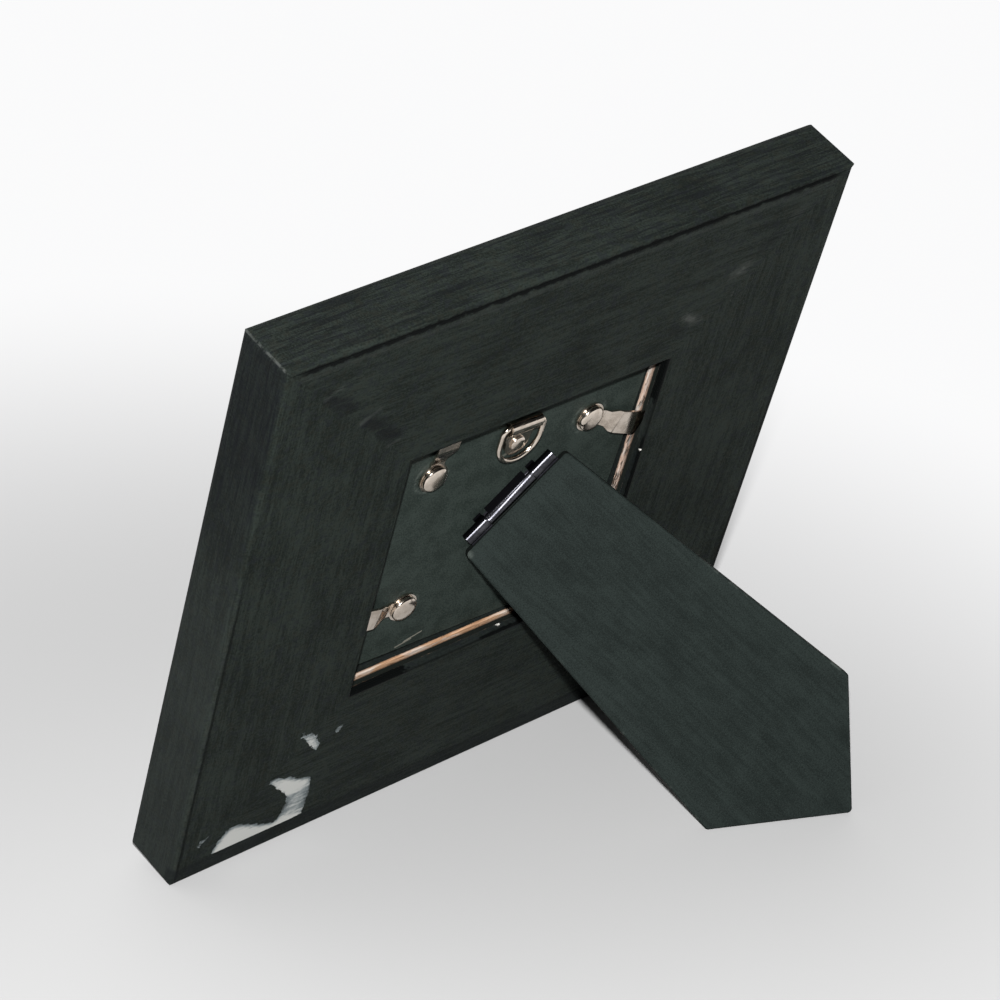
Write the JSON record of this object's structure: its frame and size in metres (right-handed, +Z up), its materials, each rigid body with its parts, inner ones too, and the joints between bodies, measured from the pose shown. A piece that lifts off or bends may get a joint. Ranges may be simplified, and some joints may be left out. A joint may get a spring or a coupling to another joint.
{
  "type": "easel back photo frame",
  "caption": "Square mitred wooden photo frame leaning back on a hinged easel leg; its loose backboard is held by turn clips and carries a small D-ring hanger.",
  "frame": {"origin": "on the table, in the middle of the standing frame's footprint box", "axes": "+Z up, the picture side faces -Y and leans back, the easel leg opens towards +Y, +X is to the right as seen from the front"},
  "size_m": [0.175, 0.1024, 0.1704],
  "materials": {
    "stained_wood": "dark green-black stain, brushed, satin",
    "painted_board": "fibreboard with dark green-grey matt paint",
    "bright_steel": "bright nickel plate",
    "hinge_steel": "dull nickel plate",
    "dark_steel": "plain steel, stained over",
    "glass": "clear float glass",
    "card": "plain matt card"
  },
  "bodies": {
    "frame": {"rail_top": "stained_wood", "rail_bottom": "stained_wood", "rail_left": "stained_wood", "rail_right": "stained_wood", "corner_v_nails": "dark_steel", "glass_pane": "glass", "photo_insert": "card", "backboard": "painted_board", "hinge_board_leaf": "hinge_steel", "hinge_pin": "hinge_steel", "hanger_strap": "bright_steel", "hanger_rivet": "bright_steel", "clip_rivet_top": "bright_steel", "clip_rivet_left": "bright_steel", "clip_rivet_right": "bright_steel", "clip_rivet_bottom": "bright_steel"},
    "leg": {"easel_leg": "painted_board", "hinge_leg_leaf": "hinge_steel"},
    "clip_top": {"turn_clip_top": "bright_steel"},
    "clip_left": {"turn_clip_left": "bright_steel"},
    "clip_right": {"turn_clip_right": "bright_steel"},
    "clip_bottom": {"turn_clip_bottom": "bright_steel"},
    "ring": {"hanger_ring": "bright_steel"}
  },
  "joints": [
    {"name": "leg_hinge", "type": "hinge", "parent": "frame", "child": "leg", "pos_m": [-0.00146, -0.00857, 0.09043], "axis": [0.7325, -0.217, -0.6452], "range_deg": [-32.8, 0]},
    {"name": "clip_top_turn", "type": "hinge", "parent": "frame", "child": "clip_top", "pos_m": [0.02607, -0.00489, 0.10749], "axis": [0, 0.9478, -0.3188], "range_deg": [-40, 185]},
    {"name": "clip_left_turn", "type": "hinge", "parent": "frame", "child": "clip_left", "pos_m": [-0.02389, -0.00513, 0.10679], "axis": [0, 0.9478, -0.3188], "range_deg": [-50, 150]},
    {"name": "clip_right_turn", "type": "hinge", "parent": "frame", "child": "clip_right", "pos_m": [0.02454, -0.01939, 0.06438], "axis": [0, 0.9478, -0.3188], "range_deg": [-100, 110]},
    {"name": "clip_bottom_turn", "type": "hinge", "parent": "frame", "child": "clip_bottom", "pos_m": [-0.02293, -0.02024, 0.06184], "axis": [0, 0.9478, -0.3188], "range_deg": [-100, 185]},
    {"name": "ring_swing", "type": "hinge", "parent": "frame", "child": "ring", "pos_m": [0.00022, -0.00088, 0.11471], "axis": [0.9993, 0.0117, 0.0347], "range_deg": [0, 140]}
  ]
}
